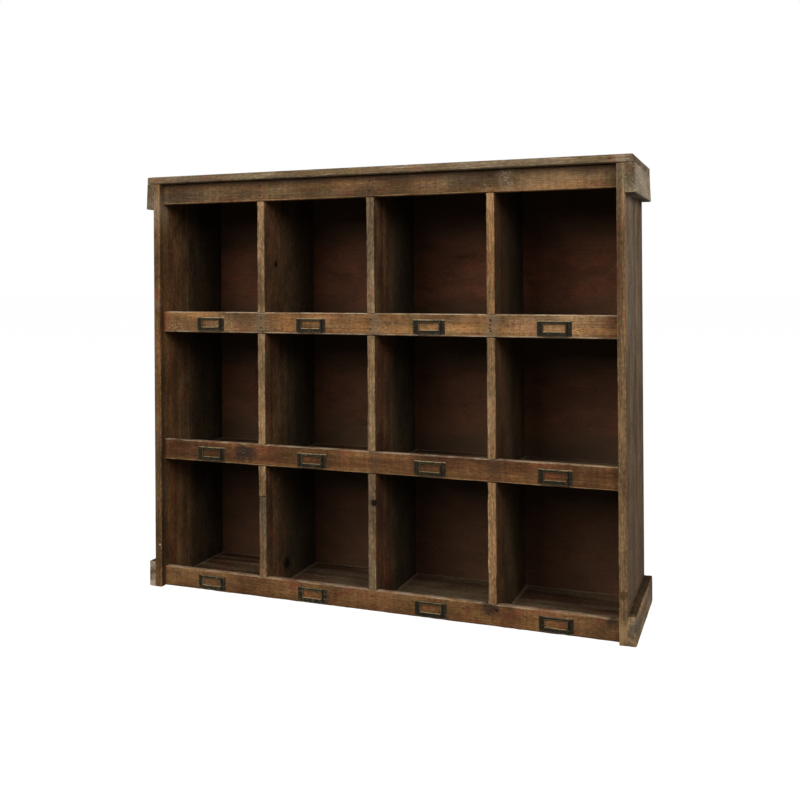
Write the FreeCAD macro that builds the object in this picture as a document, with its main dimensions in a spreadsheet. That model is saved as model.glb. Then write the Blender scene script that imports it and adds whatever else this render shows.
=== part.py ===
import FreeCAD, Part
import os
import re
import Sketcher

# Cubby wall shelf of reclaimed wood: three rows of four open cubbies.
# Three full-height dividers and two thin shelves cross-lap into a lattice. The shelves, the
# floor and the deep rails in front of them are let into housings in the two side panels.
# All lengths are millimetres. X runs across the front, Y from front to back, Z upwards,
# and the origin is the middle of the base.

SIZES = {
    # the cubbies and the case around them
    "opening_width": 248,
    "opening_height": 250,
    "case_depth": 280,
    "panel_thickness": 17,
    "divider_thickness": 19,
    "top_thickness": 17,
    "shelf_thickness": 10,
    "front_recess": 15,
    # the rails along the front edges of the shelves
    "rail_height": 48,
    "base_rail_height": 46,
    "rail_thickness": 18,
    "rail_ease": 2.5,
    # the back
    "back_thickness": 5,
    "back_inset": 5,
    # the cleats along the ends of the case
    "cleat_thickness": 18,
    "cleat_height": 59,
    "cleat_flare": 2.5,
    "cleat_ease": 3.5,
    # worn edges of the boards
    "board_ease": 1.5,
    "top_board_ease": 3,
    # the housings and cross laps
    "housing_depth": 6,
    "foot_housing_depth": 3,
    "joint_play": 0.2,
    # the strip pieced into the left divider's front edge
    "splice_length": 182,
    "splice_depth": 16,
    "splice_shift": 1,
    # the stamped label holders
    "holder_width": 71,
    "holder_height": 32,
    "holder_rise_on_rail": 4,
    "holder_sheet": 0.8,
    "holder_relief": 2.8,
    "holder_flange": 9,
    "holder_side_band": 4.5,
    "holder_bottom_band": 10,
    "holder_top_band": 6.5,
    "holder_wall": 1,
    "holder_ease": 0.7,
    "holder_corner": 2,
    "holder_bevel": 0.5,
    # how far each column's holders stand from the middle of their cubby
    "first_column_shift": 3,
    "second_column_shift": -9,
    "third_column_shift": -0.5,
    "fourth_column_shift": -1.5,
    # the round-headed pins that hold the label holders
    "pin_radius": 0.8,
    "pin_length": 9,
    "pin_head_radius": 1.8,
    "pin_head_height": 0.9,
    "pin_head_ease": 0.6,
    "pin_play": 0.05,
    # the square cut nails
    "nail_width": 2,
    "nail_head_width": 3.4,
    "nail_head_height": 1.2,
    "nail_length": 36,
    "cleat_nail_length": 30,
    "back_nail_length": 18,
    "nail_play": 0.1,
    # the keyhole hanger plates in the rear edges of the side panels
    "hanger_width": 13,
    "hanger_length": 52,
    "hanger_thickness": 1.6,
    "hanger_corner": 2,
    "hanger_drop": 90,
    "hanger_play": 0.1,
    "keyhole_radius": 4.5,
    "keyhole_slot_width": 4.4,
    "keyhole_slot_length": 13,
    "hanger_pocket_width": 11,
    "hanger_pocket_depth": 9,
    "screw_inset": 6,
    "screw_radius": 1.5,
    "screw_head_radius": 2.8,
    "screw_head_height": 1.2,
    "screw_length": 16,
    "screw_play": 0.05,
}

# Where the nails stand, as shares of the boards that they go through.
RAIL_NAIL_SHARES = (0.28, 0.72)
TOP_NAIL_SHARES = (0.12, 0.5, 0.88)
DIVIDER_NAIL_SHARES = (0.3, 0.75)
CLEAT_NAIL_SHARES = (0.2, 0.8)
BACK_NAIL_SHARES = (0.18, 0.5, 0.82)

# The rounding of a keyhole slot's end, as a share of the slot's width: nearly half of it.
SLOT_END_SHARE = 0.49

COLUMN_SHIFTS = (
    "first_column_shift",
    "second_column_shift",
    "third_column_shift",
    "fourth_column_shift",
)
COLUMNS = len(COLUMN_SHIFTS)
DIVIDERS = ("left_divider", "middle_divider", "right_divider")

# The rails from the base up: the height of the lower edge, and the rail's own height.
RAILS = {
    "base_rail": ("0", "base_rail_height"),
    "lower_shelf_rail": ("lower_rail_bottom", "rail_height"),
    "upper_shelf_rail": ("upper_rail_bottom", "rail_height"),
    "top_rail": ("top_rail_bottom", "rail_height"),
}
LABELLED_RAILS = ("base_rail", "lower_shelf_rail", "upper_shelf_rail")
SHELVES = {"lower_shelf": "lower_rail_bottom", "upper_shelf": "upper_rail_bottom"}

# Lengths and places that follow from the sizes.
DERIVED = {
    "inner_width": f"{COLUMNS} * opening_width + {COLUMNS - 1} * divider_thickness",
    "column_pitch": "opening_width + divider_thickness",
    "panel_face": "inner_width / 2",
    "panel_middle": "panel_face + panel_thickness / 2",
    "panel_outside": "panel_face + panel_thickness",
    "cleat_face": "panel_outside + cleat_thickness",
    "row_pitch": "opening_height + rail_height",
    "lower_rail_bottom": "base_rail_height + opening_height",
    "upper_rail_bottom": "lower_rail_bottom + row_pitch",
    "top_rail_bottom": "upper_rail_bottom + row_pitch",
    "panel_height": "top_rail_bottom + rail_height",
    "front_face": "-case_depth / 2",
    "rail_face": "front_face + front_recess",
    "shelf_front": "rail_face + rail_thickness",
    "rear_face": "case_depth / 2",
    "back_rear": "rear_face - back_inset",
    "back_face": "back_rear - back_thickness",
    "shelf_depth": "back_face - shelf_front",
    "lap_length": "(shelf_depth + joint_play) / 2",
    "housed_face": "panel_face + housing_depth",
    "divider_depth": "back_face - rail_face",
    "divider_foot": "shelf_thickness - foot_housing_depth",
    "divider_height": "panel_height - divider_foot",
    "label_face": "rail_face - holder_sheet",
    "window_width": "holder_width - 2 * (holder_flange + holder_side_band)",
    "window_height": "holder_height - holder_bottom_band - holder_top_band",
    "relief_width": "holder_width - 2 * holder_flange",
    "hanger_bottom": "panel_height - hanger_drop - hanger_length",
    "keyhole_middle": "hanger_bottom + (hanger_length - keyhole_slot_length) / 2",
    "keyhole_slot_end": f"{SLOT_END_SHARE} * keyhole_slot_width",
}

document = FreeCAD.newDocument("cubby_wall_shelf")

sheet = document.addObject("Spreadsheet::Sheet", "Sizes")
for line, (alias, value) in enumerate(SIZES.items(), start=1):
    sheet.set(f"A{line}", alias)
    sheet.set(f"B{line}", str(value))
    sheet.setAlias(f"B{line}", alias)
document.recompute()

places = document.addObject("App::VarSet", "Places")


def formula(text):
    """Spell out a sum of size names as an expression of this document."""

    def spell(match):
        word = match.group(0)
        if word in DERIVED:
            return "Places." + word
        if word in SIZES:
            return "Sizes." + word
        raise ValueError("no size is called " + word)

    return re.sub(r"[a-z][a-z_]*", spell, text)


for name, text in DERIVED.items():
    places.addProperty("App::PropertyFloat", name)
    places.setExpression(name, formula(text))
document.recompute()


def size(name):
    """The value of a size in the sheet, in millimetres."""
    return float(sheet.get(name))


# The origin plane that each axis stands square to. A sketch on the XZ plane faces -Y.
PLANES = {"x": "YZ_Plane", "y": "XZ_Plane", "z": "XY_Plane"}
PLANE_FACINGS = {"x": "+x", "y": "-y", "z": "+z"}


def new_body(label, x="0", y="0", z="0"):
    """An empty body whose origin stands at sums of sizes."""
    body = document.addObject("PartDesign::Body", label)
    body.Label = label
    for axis, text in zip("xyz", (x, y, z)):
        body.setExpression("Placement.Base." + axis, formula(text))
    return body


def new_sketch(body, name, axis, at="0"):
    """An empty sketch square to an axis, at a distance along it from the body's origin."""
    sketch = body.newObject("Sketcher::SketchObject", f"{body.Name}_{name}")
    support = next(item for item in body.Origin.OriginFeatures if item.Role == PLANES[axis])
    sketch.AttachmentSupport = [(support, "")]
    sketch.MapMode = "FlatFace"
    if at != "0":
        sign = "-" if PLANE_FACINGS[axis].startswith("-") else ""
        sketch.setExpression("AttachmentOffset.Base.z", formula(f"{sign}({at})"))
    return sketch


def constrain(sketch, constraints):
    """Add constraints to a sketch. Each dimension comes with the sum that drives it."""
    indices = sketch.addConstraint([constraint for constraint, text in constraints])
    for index, (constraint, text) in zip(indices, constraints):
        if text:
            sketch.setExpression(f"Constraints[{index}]", formula(text))


def located(element, vertex, across, up):
    """The dimensions of a point from a sketch's origin."""
    for kind, text, axis in (("DistanceX", across, -2), ("DistanceY", up, -1)):
        if text == "0":
            yield Sketcher.Constraint("PointOnObject", element, vertex, axis), None
        else:
            yield Sketcher.Constraint(kind, -1, 1, element, vertex, 1.0), text


def add_outlines(sketch, outlines):
    """Outlines of four straight sides, through points whose coordinates are sums of sizes."""
    guesses = [FreeCAD.Vector(*guess) for guess in ((0, 0), (1, 0), (1, 1), (0, 1))]
    constraints = []
    for points in outlines:
        first = sketch.GeometryCount
        sides = [Part.LineSegment(*ends) for ends in zip(guesses, guesses[1:] + guesses[:1])]
        sketch.addGeometry(sides, False)
        for index, (across, up) in enumerate(points):
            following = first + (index + 1) % len(points)
            joint = Sketcher.Constraint("Coincident", first + index, 2, following, 1)
            constraints.append((joint, None))
            constraints.extend(located(first + index, 1, across, up))
    constrain(sketch, constraints)


def rectangle(left, bottom, width, height):
    """The corners of a rectangle with its lower left corner at sums of sizes."""
    right = width if left == "0" else f"{left} + {width}"
    top = height if bottom == "0" else f"{bottom} + {height}"
    return ((left, bottom), (right, bottom), (right, top), (left, top))


def add_rectangle(sketch, *numbers):
    """A rectangle from the sums of rectangle."""
    add_outlines(sketch, [rectangle(*numbers)])


def add_squares(sketch, middles, width):
    """A square of one width round each middle."""
    half = f"({width}) / 2"
    corners = [(f"{across} - {half}", f"{up} - {half}") for across, up in middles]
    add_outlines(sketch, [rectangle(left, bottom, width, width) for left, bottom in corners])


def add_circles(sketch, middles, radius):
    """A circle of one radius round each middle."""
    constraints = []
    for across, up in middles:
        unit = Part.Circle(FreeCAD.Vector(1, 1), FreeCAD.Vector(0, 0, 1), 1)
        element = sketch.addGeometry(unit, False)
        constraints.append((Sketcher.Constraint("Radius", element, 1.0), radius))
        constraints.extend(located(element, 3, across, up))
    constrain(sketch, constraints)


def pad(body, name, sketch, length, towards, taper=0):
    """Thicken a sketch along an axis into the body's solid, drawn in at an angle if given."""
    feature = body.newObject("PartDesign::Pad", f"{body.Name}_{name}")
    feature.Profile = sketch
    feature.Reversed = towards != PLANE_FACINGS[towards[1]]
    feature.TaperAngle = taper
    feature.setExpression("Length", formula(length))
    document.recompute()


def pocket(body, name, sketch, length, towards, taper=0):
    """Cut a sketch out of the body along an axis, and make sure that it removed something."""
    before = body.Shape.Volume
    feature = body.newObject("PartDesign::Pocket", f"{body.Name}_{name}")
    feature.Profile = sketch
    feature.Reversed = towards == PLANE_FACINGS[towards[1]]
    feature.TaperAngle = taper
    feature.setExpression("Length", formula(length))
    document.recompute()
    if not body.Shape.Volume < before:
        raise RuntimeError(feature.Name + " cut nothing")


def dress(kind, body, name, wanted, amount):
    """Fillet or chamfer the edges that the test wanted picks out."""
    base = body.Tip
    edges = enumerate(base.Shape.Edges, start=1)
    picked = [f"Edge{index}" for index, edge in edges if wanted(edge)]
    feature = body.newObject("PartDesign::" + kind, f"{body.Name}_{name}")
    feature.Base = (base, picked)
    feature.setExpression("Radius" if kind == "Fillet" else "Size", formula(amount))
    document.recompute()


def runs(edge, axis):
    """Whether a straight edge runs along an axis."""
    vector = edge.Vertexes[-1].Point - edge.Vertexes[0].Point
    return edge.Curve.TypeId == "Part::GeomLine" and vector.Length - abs(getattr(vector, axis)) < near


def at(edge, **planes):
    """Whether an edge lies whole in planes such as y=0."""
    return all(
        abs(getattr(vertex.Point, axis) - value) < near
        for axis, value in planes.items()
        for vertex in edge.Vertexes
    )


def board(label, x, y, z, width, depth, height):
    """A plain board with its left front bottom corner at x, y, z."""
    body = new_body(label, x, y, z)
    outline = new_sketch(body, "outline", "z")
    add_rectangle(outline, "0", "0", width, depth)
    pad(body, "board", outline, height, "+z")
    return body


def divider_left(index):
    """The left face of a divider."""
    return f"-panel_face + opening_width + {index} * column_pitch"


def divider_middle(index):
    """The middle of a divider's thickness."""
    return f"{divider_left(index)} + divider_thickness / 2"


def cubby_middle(index):
    """The middle of a column of cubbies."""
    return f"-panel_face + opening_width / 2 + {index} * column_pitch"


def shifted(middles, across, up):
    """Points of the case as seen from a body's origin."""
    return [(f"{x} - ({across})", f"{z} - ({up})") for x, z in middles]


near = size("joint_play") / 4

# The angle at which the screw heads and their sinks draw in, in degrees.
SINK_TAPER = -45

# Middles of the nails and pins in the case, seen square to the face that they are driven
# into.

RAIL_NAILS = {
    rail: [
        (divider_middle(index), f"{bottom} + {share} * {height}")
        for index in range(len(DIVIDERS))
        for share in RAIL_NAIL_SHARES
    ]
    for rail, (bottom, height) in RAILS.items()
}
PANEL_TOP_NAILS = {
    side: [(f"{side}panel_middle", f"front_face + {share} * case_depth") for share in TOP_NAIL_SHARES]
    for side in ("-", "")
}
DIVIDER_TOP_NAILS = [
    [(divider_middle(index), f"rail_face + {share} * divider_depth") for share in DIVIDER_NAIL_SHARES]
    for index in range(len(DIVIDERS))
]
CLEAT_NAILS = {
    height: [(f"front_face + {share} * case_depth", height) for share in CLEAT_NAIL_SHARES]
    for height in ("cleat_height / 2", "panel_height - cleat_height / 2")
}
DIVIDER_BACK_NAILS = [
    [
        (divider_middle(index), f"divider_foot + {share} * divider_height")
        for share in BACK_NAIL_SHARES
    ]
    for index in range(len(DIVIDERS))
]
SHELF_BACK_NAILS = {
    bottom: [(cubby_middle(index), f"{bottom} + shelf_thickness / 2") for index in range(COLUMNS)]
    for bottom in ("0", *SHELVES.values())
}
LABEL_PINS = {
    rail: [
        (
            f"{cubby_middle(index)} + {shift} + {side} * (holder_width - holder_flange) / 2",
            f"{RAILS[rail][0]} + holder_rise_on_rail + holder_height / 2",
        )
        for index, shift in enumerate(COLUMN_SHIFTS)
        for side in ("-1", "1")
    ]
    for rail in LABELLED_RAILS
}
HANGER_SCREWS = {
    side: [
        (f"{side}panel_middle", "hanger_bottom + screw_inset"),
        (f"{side}panel_middle", "hanger_bottom + hanger_length - screw_inset"),
    ]
    for side in ("-", "")
}

HEAD = "nail_head_height"
NAIL_HOLE = "nail_width + 2 * nail_play"
NAIL_HEAD_HOLE = "nail_head_width + 2 * nail_play"


def nail_holes(body, name, axis, face, middles, depth, towards, head_depth=None):
    """Square nail holes into a face of a board, with sunk seats for the heads if wanted."""
    holes = new_sketch(body, name + "_outline", axis, face)
    add_squares(holes, middles, NAIL_HOLE)
    pocket(body, name + "_holes", holes, depth, towards)
    if head_depth:
        seats = new_sketch(body, name + "_seat_outline", axis, face)
        add_squares(seats, middles, NAIL_HEAD_HOLE)
        pocket(body, name + "_head_seats", seats, head_depth, towards)


# The side panels. Each body's origin is on the panel's inner face, at the front.

for side, sign, outwards, inwards in (("left", "-", "-x", "+x"), ("right", "", "+x", "-x")):
    panel = new_body(side + "_side_panel", sign + "panel_face", "front_face", "0")
    outline = new_sketch(panel, "outline", "x")
    add_rectangle(outline, "0", "0", "case_depth", "panel_height")
    pad(panel, "board", outline, "panel_thickness", outwards)
    dress("Fillet", panel, "front_ease", lambda e: runs(e, "z") and at(e, y=0), "board_ease")
    housings = new_sketch(panel, "rail_housings", "x")
    for bottom, height in RAILS.values():
        add_rectangle(housings, "front_recess", bottom, "rail_thickness + joint_play", height)
    pocket(panel, "rail_housing", housings, "housing_depth + joint_play", outwards)
    grooves = new_sketch(panel, "shelf_housings", "x")
    for bottom in ("0", *SHELVES.values()):
        start = "front_recess + rail_thickness"
        add_rectangle(grooves, start, bottom, "shelf_depth", "shelf_thickness + joint_play")
    pocket(panel, "shelf_housing", grooves, "housing_depth + joint_play", outwards)
    middles = [middle for group in CLEAT_NAILS.values() for middle in group]
    middles = shifted(middles, "front_face", "0")
    depth = "cleat_nail_length - cleat_thickness + nail_play"
    nail_holes(panel, "cleat_nails", "x", sign + "panel_thickness", middles, depth, inwards)
    middles = shifted(PANEL_TOP_NAILS[sign], sign + "panel_face", "front_face")
    depth = "nail_length - top_thickness + nail_play"
    nail_holes(panel, "top_nails", "z", "panel_height", middles, depth, "-z")
    # the mortise for the hanger plate, and the room behind its keyhole for a screw head
    mortise = new_sketch(panel, "hanger_mortise", "y", "case_depth")
    add_rectangle(
        mortise,
        f"{sign}panel_thickness / 2 - hanger_width / 2 - hanger_play",
        "hanger_bottom - hanger_play",
        "hanger_width + 2 * hanger_play",
        "hanger_length + 2 * hanger_play",
    )
    pocket(panel, "hanger_mortise_cut", mortise, "hanger_thickness", "-y")
    room = new_sketch(panel, "screw_head_room", "y", "case_depth")
    add_rectangle(
        room,
        f"{sign}panel_thickness / 2 - hanger_pocket_width / 2",
        "keyhole_middle - keyhole_radius",
        "hanger_pocket_width",
        "keyhole_slot_length + 2 * keyhole_radius",
    )
    pocket(panel, "screw_head_pocket", room, "hanger_pocket_depth", "-y")
    screws = new_sketch(panel, "hanger_screws", "y", "case_depth")
    middles = shifted(HANGER_SCREWS[sign], sign + "panel_face", "0")
    add_circles(screws, middles, "screw_radius + screw_play")
    pocket(panel, "hanger_screw_holes", screws, "screw_length + screw_play", "-y")

# The floor. It lies level with the base, and shallow housings take the dividers' feet.

DIVIDER_SLOT = "divider_thickness + joint_play"


def slot_left(index):
    """The left side of the slot round a divider, from the housed end of a board."""
    return f"{divider_left(index)} + housed_face - joint_play / 2"


floor = board(
    "bottom_board",
    "-housed_face",
    "shelf_front",
    "0",
    "2 * housed_face",
    "shelf_depth",
    "shelf_thickness",
)
feet = new_sketch(floor, "feet", "y")
for index in range(len(DIVIDERS)):
    add_rectangle(feet, slot_left(index), "divider_foot", DIVIDER_SLOT, "foot_housing_depth")
pocket(floor, "foot_housings", feet, "shelf_depth", "+y")
middles = shifted(SHELF_BACK_NAILS["0"], "-housed_face", "0")
depth = "back_nail_length - back_thickness + nail_play"
nail_holes(floor, "back_nails", "y", "shelf_depth", middles, depth, "-y")

# The two shelves, each slotted from its front edge to the middle for the dividers.

for label, bottom in SHELVES.items():
    shelf = board(
        label,
        "-housed_face",
        "shelf_front",
        bottom,
        "2 * housed_face",
        "shelf_depth",
        "shelf_thickness",
    )
    slots = new_sketch(shelf, "slots", "z")
    for index in range(len(DIVIDERS)):
        add_rectangle(slots, slot_left(index), "0", DIVIDER_SLOT, "lap_length")
    pocket(shelf, "lap_slots", slots, "shelf_thickness", "+z")
    middles = shifted(SHELF_BACK_NAILS[bottom], "-housed_face", bottom)
    nail_holes(shelf, "back_nails", "y", "shelf_depth", middles, depth, "-y")

# The dividers. Each is notched in front round the rails and slotted from the back to the
# middle for the shelves. The left one has a strip pieced into its front edge.

for index, label in enumerate(DIVIDERS):
    divider = board(
        label,
        divider_left(index),
        "rail_face",
        "divider_foot",
        "divider_thickness",
        "divider_depth",
        "divider_height",
    )
    dress("Fillet", divider, "front_ease", lambda e: runs(e, "z") and at(e, y=0), "board_ease")
    notches = new_sketch(divider, "notches", "x")
    add_rectangle(notches, "0", "0", "rail_thickness", "base_rail_height - divider_foot")
    for bottom in ("lower_rail_bottom", "upper_rail_bottom", "top_rail_bottom"):
        add_rectangle(notches, "0", f"{bottom} - divider_foot", "rail_thickness", "rail_height")
    if label == "left_divider":
        start = "base_rail_height - divider_foot"
        add_rectangle(notches, "0", start, "splice_depth", "splice_length")
    pocket(divider, "rail_notches", notches, "divider_thickness", "+x")
    slots = new_sketch(divider, "slots", "x")
    for bottom in SHELVES.values():
        lower = f"{bottom} - divider_foot - joint_play / 2"
        start = "divider_depth - lap_length"
        add_rectangle(slots, start, lower, "lap_length", "shelf_thickness + joint_play")
    pocket(divider, "lap_slots", slots, "divider_thickness", "+x")
    own = slice(index * len(RAIL_NAIL_SHARES), (index + 1) * len(RAIL_NAIL_SHARES))
    middles = [middle for group in RAIL_NAILS.values() for middle in group[own]]
    middles = shifted(middles, divider_left(index), "divider_foot")
    depth = "nail_length - rail_thickness + nail_play"
    nail_holes(divider, "rail_nails", "y", "rail_thickness", middles, depth, "+y")
    middles = shifted(DIVIDER_TOP_NAILS[index], divider_left(index), "rail_face")
    depth = "nail_length - top_thickness + nail_play"
    nail_holes(divider, "top_nails", "z", "divider_height", middles, depth, "-z")
    middles = shifted(DIVIDER_BACK_NAILS[index], divider_left(index), "divider_foot")
    depth = "back_nail_length - back_thickness + nail_play"
    nail_holes(divider, "back_nails", "y", "divider_depth", middles, depth, "-y")

splice = board(
    "left_divider_splice",
    f"{divider_left(0)} + splice_shift",
    "rail_face",
    "base_rail_height",
    "divider_thickness",
    "splice_depth",
    "splice_length",
)
dress("Fillet", splice, "front_ease", lambda e: runs(e, "z") and at(e, y=0), "board_ease")

# The rails, housed in the side panels and nailed to the dividers. They stand above the
# shelves as lips, with their lower edges level with the undersides.

PIN_HOLE_RADIUS = "pin_radius + pin_play"

for label, (bottom, height) in RAILS.items():
    rail = board(
        label,
        "-housed_face",
        "rail_face",
        bottom,
        "2 * housed_face",
        "rail_thickness",
        height,
    )
    dress("Fillet", rail, "front_ease", lambda e: runs(e, "x") and at(e, y=0), "rail_ease")
    middles = shifted(RAIL_NAILS[label], "-housed_face", bottom)
    nail_holes(rail, "nails", "y", "0", middles, "rail_thickness", "+y", HEAD)
    if label in LABELLED_RAILS:
        holes = new_sketch(rail, "pins", "y")
        add_circles(holes, shifted(LABEL_PINS[label], "-housed_face", bottom), PIN_HOLE_RADIUS)
        pocket(rail, "pin_holes", holes, "pin_length - holder_sheet + pin_play", "+y")

# The top board covers the panels and the cleats.

top = board(
    "top_board",
    "-cleat_face",
    "front_face",
    "panel_height",
    "2 * cleat_face",
    "case_depth",
    "top_thickness",
)
dress(
    "Fillet",
    top,
    "worn_edges",
    lambda e: at(e, y=0) or at(e, z=size("top_thickness")) and not runs(e, "x"),
    "top_board_ease",
)
TOP_NAILS = (*PANEL_TOP_NAILS.values(), *DIVIDER_TOP_NAILS)
for number, group in enumerate(TOP_NAILS, start=1):
    middles = shifted(group, "-cleat_face", "front_face")
    name = f"nails{number}"
    nail_holes(top, name, "z", "top_thickness", middles, "top_thickness", "-z", HEAD)

# The cleats on the outside of the panels. The top ones thicken towards their lower edges.

for side, sign, outwards, inwards in (("left", "-", "-x", "+x"), ("right", "", "+x", "-x")):
    for label, bottom, flare in (
        ("base_cleat", "0", "0"),
        ("top_cleat", "panel_height - cleat_height", "cleat_flare"),
    ):
        cleat = new_body(f"{label}_{side}", sign + "panel_outside", "front_face", bottom)
        outline = new_sketch(cleat, "outline", "y")
        wide = sign + ("cleat_thickness" if flare == "0" else "(cleat_thickness + cleat_flare)")
        corners = [("0", "0"), (wide, "0"), (sign + "cleat_thickness", "cleat_height")]
        add_outlines(outline, [corners + [("0", "cleat_height")]])
        pad(cleat, "board", outline, "case_depth", "+y")
        dress(
            "Fillet",
            cleat,
            "worn_edges",
            lambda e: abs(e.CenterOfMass.x) > size("cleat_thickness") / 2 and not runs(e, "x")
            and (label == "base_cleat" or not at(e, z=size("cleat_height"))),
            "cleat_ease",
        )
        height = "cleat_height / 2" if bottom == "0" else "panel_height - cleat_height / 2"
        middles = shifted(CLEAT_NAILS[height], "front_face", bottom)
        deep = f"cleat_thickness + {flare}"
        head_depth = f"{HEAD} + {flare} / 2"
        nail_holes(cleat, "nails", "x", f"{sign}({deep})", middles, deep, inwards, head_depth)

# The back panel closes the rows from behind, between the side panels.

back = board(
    "back_panel",
    "-panel_face",
    "back_face",
    "0",
    "2 * panel_face",
    "back_thickness",
    "panel_height",
)
BACK_NAILS = (*DIVIDER_BACK_NAILS, *SHELF_BACK_NAILS.values())
for number, group in enumerate(BACK_NAILS, start=1):
    middles = shifted(group, "-panel_face", "0")
    name = f"nails{number}"
    nail_holes(back, name, "y", "back_thickness", middles, "back_thickness", "-y", HEAD)

# The label holders, stamped from sheet metal. A card slides in from above, behind the
# window, and a flange at each side takes a pin.

HOLDER_DEPTH = "(holder_sheet + holder_relief)"

for row, rail in enumerate(reversed(LABELLED_RAILS), start=1):
    for column, shift in enumerate(COLUMN_SHIFTS, start=1):
        holder = new_body(
            f"label_holder_row{row}_column{column}",
            f"{cubby_middle(column - 1)} + {shift} - holder_width / 2",
            "rail_face",
            f"{RAILS[rail][0]} + holder_rise_on_rail",
        )
        sheet_outline = new_sketch(holder, "sheet", "y")
        add_rectangle(sheet_outline, "0", "0", "holder_width", "holder_height")
        pad(holder, "flanges", sheet_outline, "holder_sheet", "-y")
        dress("Fillet", holder, "flange_corners", lambda e: runs(e, "y"), "holder_corner")
        raised = new_sketch(holder, "raised", "y")
        add_rectangle(raised, "holder_flange", "0", "relief_width", "holder_height")
        pad(holder, "raised_frame", raised, HOLDER_DEPTH, "-y")
        front = -(size("holder_sheet") + size("holder_relief"))
        dress(
            "Fillet",
            holder,
            "pressed_edges",
            lambda e: at(e, y=front),
            "holder_ease",
        )
        space = new_sketch(holder, "card", "z", "holder_height")
        add_rectangle(
            space,
            "holder_flange + holder_wall",
            f"holder_wall - {HOLDER_DEPTH}",
            "relief_width - 2 * holder_wall",
            f"{HOLDER_DEPTH} - holder_wall",
        )
        pocket(holder, "card_space", space, "holder_height - holder_wall", "-z")
        window = new_sketch(holder, "window", "y")
        left = "holder_flange + holder_side_band"
        add_rectangle(window, left, "holder_bottom_band", "window_width", "window_height")
        pocket(holder, "card_window", window, HOLDER_DEPTH, "-y")
        dress(
            "Chamfer",
            holder,
            "window_bevel",
            lambda e: at(e, y=front) and size("holder_flange") + size("holder_ease")
            < e.CenterOfMass.x < size("holder_width") - size("holder_flange") - size("holder_ease")
            and size("holder_ease") < e.CenterOfMass.z < size("holder_height") - size("holder_ease"),
            "holder_bevel",
        )
        holes = new_sketch(holder, "pins", "y")
        inset = "holder_flange / 2"
        middle = "holder_height / 2"
        add_circles(holes, [(inset, middle), (f"holder_width - {inset}", middle)], PIN_HOLE_RADIUS)
        pocket(holder, "pin_holes", holes, "holder_sheet", "-y")

# The pins, nails and screws. Those of one kind are one sub-part of separate solids.


pins = new_body("label_holder_pins", "0", "label_face", "0")
PINS = [pin for group in LABEL_PINS.values() for pin in group]
outline = new_sketch(pins, "heads", "y")
add_circles(outline, PINS, "pin_head_radius")
pad(pins, "pin_heads", outline, "pin_head_height", "-y")
tip = -size("pin_head_height")
dress("Fillet", pins, "head_rounding", lambda e: at(e, y=tip), "pin_head_ease")
outline = new_sketch(pins, "shanks", "y")
add_circles(outline, PINS, "pin_radius")
pad(pins, "pin_shanks", outline, "pin_length", "+y")


def nails(label, axis, face, groups, length, inwards):
    """Square cut nails with their heads flush in a face of the case."""
    body = new_body(label, **{axis: face})
    for number, middles in enumerate(groups, start=1):
        for part, width, height in (
            ("heads", "nail_head_width", "nail_head_height"),
            ("shanks", "nail_width", length),
        ):
            outline = new_sketch(body, f"{part}{number}_outline", axis)
            add_squares(outline, middles, width)
            pad(body, f"{part}{number}", outline, height, inwards)


nails("rail_nails", "y", "rail_face", RAIL_NAILS.values(), "nail_length", "+y")
top_face = "panel_height + top_thickness"
nails("top_board_nails", "z", top_face, TOP_NAILS, "nail_length", "-z")
nails("back_panel_nails", "y", "back_rear", BACK_NAILS, "back_nail_length", "-y")
for side, sign, inwards in (("left", "-", "+x"), ("right", "", "-x")):
    for end, flare in (("base", "0"), ("top", "cleat_flare")):
        height = "cleat_height / 2" if end == "base" else "panel_height - cleat_height / 2"
        face = f"{sign}(cleat_face + {flare} / 2)"
        length = f"cleat_nail_length + {flare} / 2"
        nails(f"{end}_cleat_nails_{side}", "x", face, [CLEAT_NAILS[height]], length, inwards)

# The hanger plates in the rear edges of the side panels. A screw head in the wall passes
# through the round end of the keyhole, and the case drops until its shank fills the slot.

for side, sign in (("left", "-"), ("right", "")):
    plate = board(
        side + "_hanger_plate",
        f"{sign}panel_middle - hanger_width / 2",
        "rear_face - hanger_thickness",
        "hanger_bottom",
        "hanger_width",
        "hanger_thickness",
        "hanger_length",
    )
    dress("Fillet", plate, "corners", lambda e: runs(e, "y"), "hanger_corner")
    middle = "hanger_width / 2"
    keyhole = new_sketch(plate, "keyhole", "y")
    add_circles(keyhole, [(middle, "keyhole_middle - hanger_bottom")], "keyhole_radius")
    pocket(plate, "keyhole_mouth", keyhole, "hanger_thickness", "+y")
    slot = new_sketch(plate, "slot", "y")
    add_rectangle(
        slot,
        f"{middle} - keyhole_slot_width / 2",
        "keyhole_middle - hanger_bottom",
        "keyhole_slot_width",
        "keyhole_slot_length",
    )
    pocket(plate, "keyhole_slot", slot, "hanger_thickness", "+y")
    slot_top = size("hanger_length") / 2 + size("keyhole_slot_length") / 2
    dress(
        "Fillet",
        plate,
        "slot_end",
        lambda e: runs(e, "y") and abs(e.CenterOfMass.z - slot_top) < near,
        "keyhole_slot_end",
    )
    holes = new_sketch(plate, "screws", "y", "hanger_thickness")
    spots = [(middle, "screw_inset"), (middle, "hanger_length - screw_inset")]
    add_circles(holes, spots, "screw_head_radius + screw_play")
    pocket(plate, "screw_sinks", holes, "screw_head_height", "-y", taper=SINK_TAPER)
    shanks = new_sketch(plate, "screw_shanks", "y", "hanger_thickness")
    add_circles(shanks, spots, "screw_radius + screw_play")
    pocket(plate, "screw_holes", shanks, "hanger_thickness", "-y")

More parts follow.
